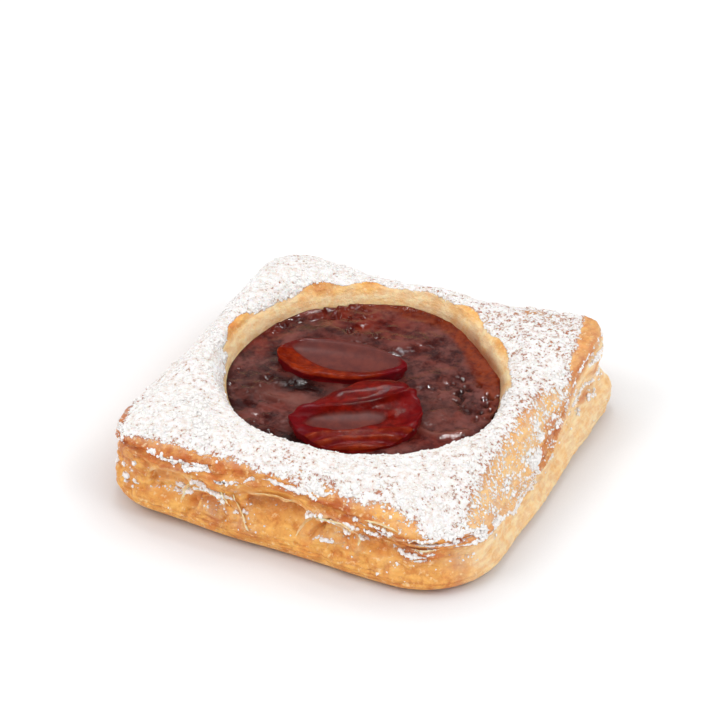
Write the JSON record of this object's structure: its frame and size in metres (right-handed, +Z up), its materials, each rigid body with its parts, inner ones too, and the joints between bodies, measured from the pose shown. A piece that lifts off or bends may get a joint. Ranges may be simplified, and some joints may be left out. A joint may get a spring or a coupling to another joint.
{
  "type": "danish pastry",
  "caption": "Square danish pastry with a baked, layered crust and a round window of plum jam with plum wedges",
  "frame": {"origin": "on the surface it rests on, under the middle of its bounding box", "axes": "+Z up; the front side, with the blisters and hollows, faces -Y; the lifted corner is at +X +Y"},
  "size_m": [0.104, 0.1028, 0.029],
  "materials": {
    "crust": "matte baked crust",
    "jam": "glossy",
    "plum": "glossy"
  },
  "bodies": {
    "root": {"pastry": "crust", "plum_jam": "jam", "plum_wedge_back": "plum", "plum_wedge_front": "plum"}
  },
  "joints": []
}
